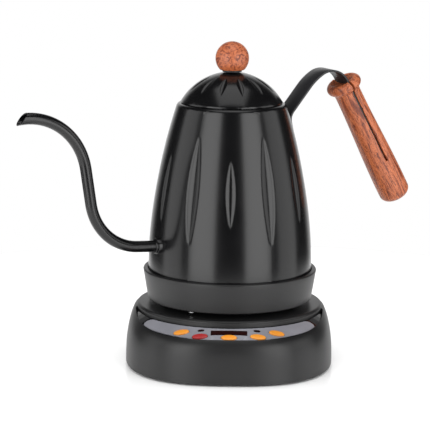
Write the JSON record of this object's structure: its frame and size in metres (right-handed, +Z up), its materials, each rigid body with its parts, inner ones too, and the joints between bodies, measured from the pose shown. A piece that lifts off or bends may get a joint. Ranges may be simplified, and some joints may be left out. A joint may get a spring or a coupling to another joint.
{
  "type": "electric gooseneck kettle",
  "caption": "Black electric pour-over kettle with a swan-neck spout, domed lid with a wooden ball knob and a slotted wooden handle, on a power base with a sloping key panel.",
  "frame": {"origin": "on the table plane, on the kettle's upright axis, 1.8 mm under the base's flat underside", "axes": "+Z up; the base's control panel faces -Y; +X to the right seen from the panel. The kettle stands turned 30 degrees, its spout towards -X -Y and its handle towards +X +Y"},
  "size_m": [0.3084, 0.1857, 0.2549],
  "materials": {
    "black_enamel": "glossy baked enamel on stainless steel",
    "charcoal_plastic": "satin, fine moulded texture",
    "gloss_panel": "polished",
    "silver_label": "metallic printed film",
    "rosewood": "oiled, grain along the turning axis",
    "steel": "bright",
    "aluminium": "pressed",
    "black_strap": "satin powder coat on steel strip",
    "rubber": "moulded",
    "silicone": "moulded, translucent grey",
    "black_nylon": "moulded",
    "amber_key": "satin, translucent",
    "red_key": "satin, translucent",
    "dark_lens": "polished, smoked",
    "circuit_board": "lacquered",
    "brass": "drawn"
  },
  "bodies": {
    "base": {"base_shell": "charcoal_plastic", "base_bottom_cover": "charcoal_plastic", "panel_bezel": "gloss_panel", "panel_label": "silver_label", "display_window": "dark_lens", "display_module": "black_nylon", "lamp_lens_1": "dark_lens", "lamp_lens_2": "dark_lens", "control_board": "circuit_board", "power_board": "circuit_board", "power_relay": "black_nylon", "base_connector": "black_nylon", "connector_pin": "brass", "cord_gland": "rubber", "base_foot_1": "rubber", "cover_screw_1": "steel", "base_foot_2": "rubber", "cover_screw_2": "steel", "base_foot_3": "rubber", "cover_screw_3": "steel", "base_foot_4": "rubber", "cover_screw_4": "steel", "tact_switch_1": "black_nylon", "tact_switch_2": "black_nylon", "tact_switch_3": "black_nylon", "tact_switch_4": "black_nylon", "tact_switch_5": "black_nylon"},
    "key_1_cap": {"key_1": "amber_key"},
    "key_2_cap": {"key_2": "red_key"},
    "key_3_cap": {"key_3": "amber_key"},
    "key_4_cap": {"key_4": "amber_key"},
    "key_5_cap": {"key_5": "amber_key"},
    "socket": {"power_socket": "black_nylon"},
    "kettle": {"kettle_cup": "charcoal_plastic", "cup_floor": "charcoal_plastic", "cup_screw_1": "steel", "cup_screw_2": "steel", "cup_screw_3": "steel", "body_seal": "silicone", "heater_plate": "steel", "diffuser_plate": "aluminium", "heating_element": "steel", "sensor_probe": "steel", "thermal_cutout": "black_nylon", "body_shell": "black_enamel", "spout_tube": "black_enamel", "spout_collar": "black_enamel", "handle_strap": "black_strap", "strap_rivet_1": "black_strap", "strap_rivet_2": "black_strap", "handle_grip": "rosewood", "grip_pin_1": "brass", "grip_pin_2": "brass"},
    "seal": {"lid_seal": "silicone"},
    "lid": {"lid_dome": "black_enamel", "lid_inner_plate": "steel", "lid_knob": "rosewood", "knob_washer": "black_nylon", "knob_screw": "steel"}
  },
  "joints": [
    {"name": "key_1_press", "type": "slide", "parent": "base", "child": "key_1_cap", "axis": [0.1853, 0.3798, -0.9063], "range_m": [0, 0.0005], "stiffness_N_per_m": 400, "springref_m": -0.0003},
    {"name": "key_2_press", "type": "slide", "parent": "base", "child": "key_2_cap", "axis": [0.1094, 0.4082, -0.9063], "range_m": [0, 0.0005], "stiffness_N_per_m": 400, "springref_m": -0.0003},
    {"name": "key_3_press", "type": "slide", "parent": "base", "child": "key_3_cap", "axis": [0, 0.4226, -0.9063], "range_m": [0, 0.0005], "stiffness_N_per_m": 400, "springref_m": -0.0003},
    {"name": "key_4_press", "type": "slide", "parent": "base", "child": "key_4_cap", "axis": [-0.1094, 0.4082, -0.9063], "range_m": [0, 0.0005], "stiffness_N_per_m": 400, "springref_m": -0.0003},
    {"name": "key_5_press", "type": "slide", "parent": "base", "child": "key_5_cap", "axis": [-0.1853, 0.3798, -0.9063], "range_m": [0, 0.0005], "stiffness_N_per_m": 400, "springref_m": -0.0003},
    {"name": "kettle_lift", "type": "slide", "parent": "base", "child": "socket", "axis": [0, 0, 1], "range_m": [0, 0.12]},
    {"name": "kettle_swivel", "type": "hinge", "parent": "socket", "child": "kettle", "pos_m": [0, 0, 0], "axis": [0, 0, 1], "continuous": true},
    {"name": "lid_lift", "type": "slide", "parent": "kettle", "child": "seal", "axis": [0, 0, 1], "range_m": [0, 0.06]},
    {"name": "lid_turn", "type": "hinge", "parent": "seal", "child": "lid", "pos_m": [0, 0, 0], "axis": [0, 0, 1], "continuous": true}
  ]
}
